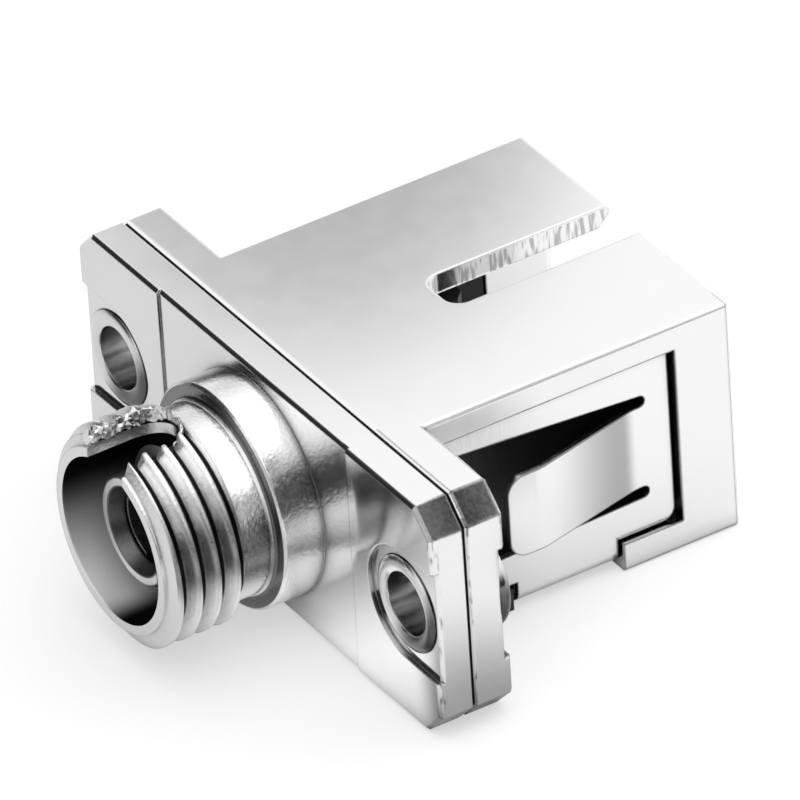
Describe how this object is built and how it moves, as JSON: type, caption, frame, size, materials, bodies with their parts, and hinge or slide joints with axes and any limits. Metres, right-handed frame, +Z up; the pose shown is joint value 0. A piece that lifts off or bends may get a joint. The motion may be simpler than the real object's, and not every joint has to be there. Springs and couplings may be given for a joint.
{
  "type": "hybrid fibre adapter",
  "caption": "Metal fibre adapter with a flange, a threaded round nose with a keyway on one side and a square push-pull socket with a side spring clip on the other.",
  "frame": {"origin": "on the optical axis, in the plane where the two halves of the flange meet, which is the middle of the alignment sleeve", "axes": "+X along the flange, +Y along the optical axis from the threaded nose to the square socket, +Z up through the keyway and the key slot"},
  "size_m": [0.022, 0.0207, 0.009],
  "materials": {
    "plated_casting": "bright nickel plate on a zinc casting",
    "insert_plastic": "moulded black",
    "sleeve_bronze": "plated spring bronze",
    "spring_sheet": "bright plated spring sheet",
    "rivet_metal": "bright plated"
  },
  "bodies": {
    "root": {"fc_housing": "plated_casting", "sc_housing": "plated_casting", "sc_latch_insert": "insert_plastic", "split_sleeve": "sleeve_bronze", "spring_clip": "spring_sheet", "eyelet_left": "rivet_metal", "eyelet_right": "rivet_metal"}
  },
  "joints": []
}
